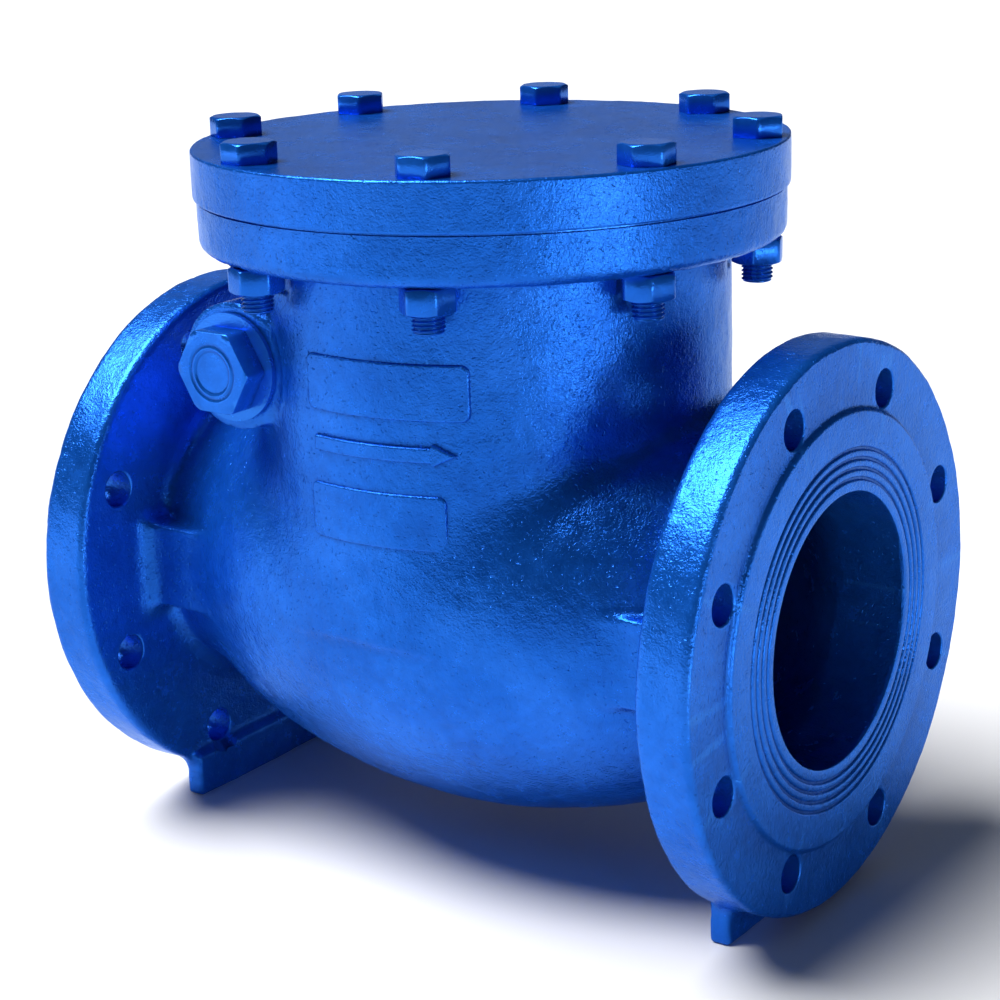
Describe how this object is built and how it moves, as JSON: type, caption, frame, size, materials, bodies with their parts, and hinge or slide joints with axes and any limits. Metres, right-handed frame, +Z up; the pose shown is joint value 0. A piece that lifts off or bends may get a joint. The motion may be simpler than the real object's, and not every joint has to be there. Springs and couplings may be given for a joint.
{
  "type": "swing check valve",
  "caption": "Flanged swing check valve: a bulging cast body, a round bolted cover, a side hinge-pin plug, and a hanging disc that opens with the flow and shuts against backflow.",
  "frame": {"origin": "on the ground, midway between the two feet, below the middle of the body", "axes": "+X along the flow, from inlet to outlet; +Z up, through the middle of the cover; +Y towards the rear; the pipe axis is 180 mm above the origin"},
  "size_m": [0.495, 0.372, 0.474],
  "materials": {
    "painted_casting": "glossy blue enamel over rough sand-cast iron",
    "painted_fasteners": "glossy blue enamel over forged and machined steel",
    "bare_iron": "dark cast iron, primed",
    "bronze": "turned bronze",
    "bright_steel": "turned stainless steel",
    "rubber": "matte black rubber"
  },
  "bodies": {
    "valve_body": {"body": "painted_casting", "seat_ring": "bronze", "cover": "painted_casting", "cover_gasket": "rubber", "hinge_pin": "bright_steel", "front_pin_bush": "bronze", "rear_pin_bush": "bronze", "front_pin_plug": "painted_fasteners", "rear_pin_plug": "painted_fasteners", "front_plug_washer": "painted_fasteners", "rear_plug_washer": "painted_fasteners", "cover_bolt_1": "painted_fasteners", "cover_bolt_2": "painted_fasteners", "cover_bolt_3": "painted_fasteners", "cover_bolt_4": "painted_fasteners", "cover_bolt_5": "painted_fasteners", "cover_bolt_6": "painted_fasteners", "cover_bolt_7": "painted_fasteners", "cover_bolt_8": "painted_fasteners", "cover_nut_1": "painted_fasteners", "cover_nut_2": "painted_fasteners", "cover_nut_3": "painted_fasteners", "cover_nut_4": "painted_fasteners", "cover_nut_5": "painted_fasteners", "cover_nut_6": "painted_fasteners", "cover_nut_7": "painted_fasteners", "cover_nut_8": "painted_fasteners"},
    "arm": {"hinge_arm": "bare_iron", "arm_bush": "bronze"},
    "disc": {"disc": "bare_iron", "disc_facing": "rubber", "disc_washer": "bright_steel", "disc_nut": "bright_steel", "disc_split_pin": "bright_steel"}
  },
  "joints": [
    {"name": "flap_swing", "type": "hinge", "parent": "valve_body", "child": "arm", "pos_m": [-0.105, 0, 0.33], "axis": [0, -1, 0], "range_deg": [0, 75]},
    {"name": "disc_spin", "type": "hinge", "parent": "arm", "child": "disc", "pos_m": [-0.1, 0, 0.18], "axis": [1, 0, 0], "continuous": true}
  ]
}
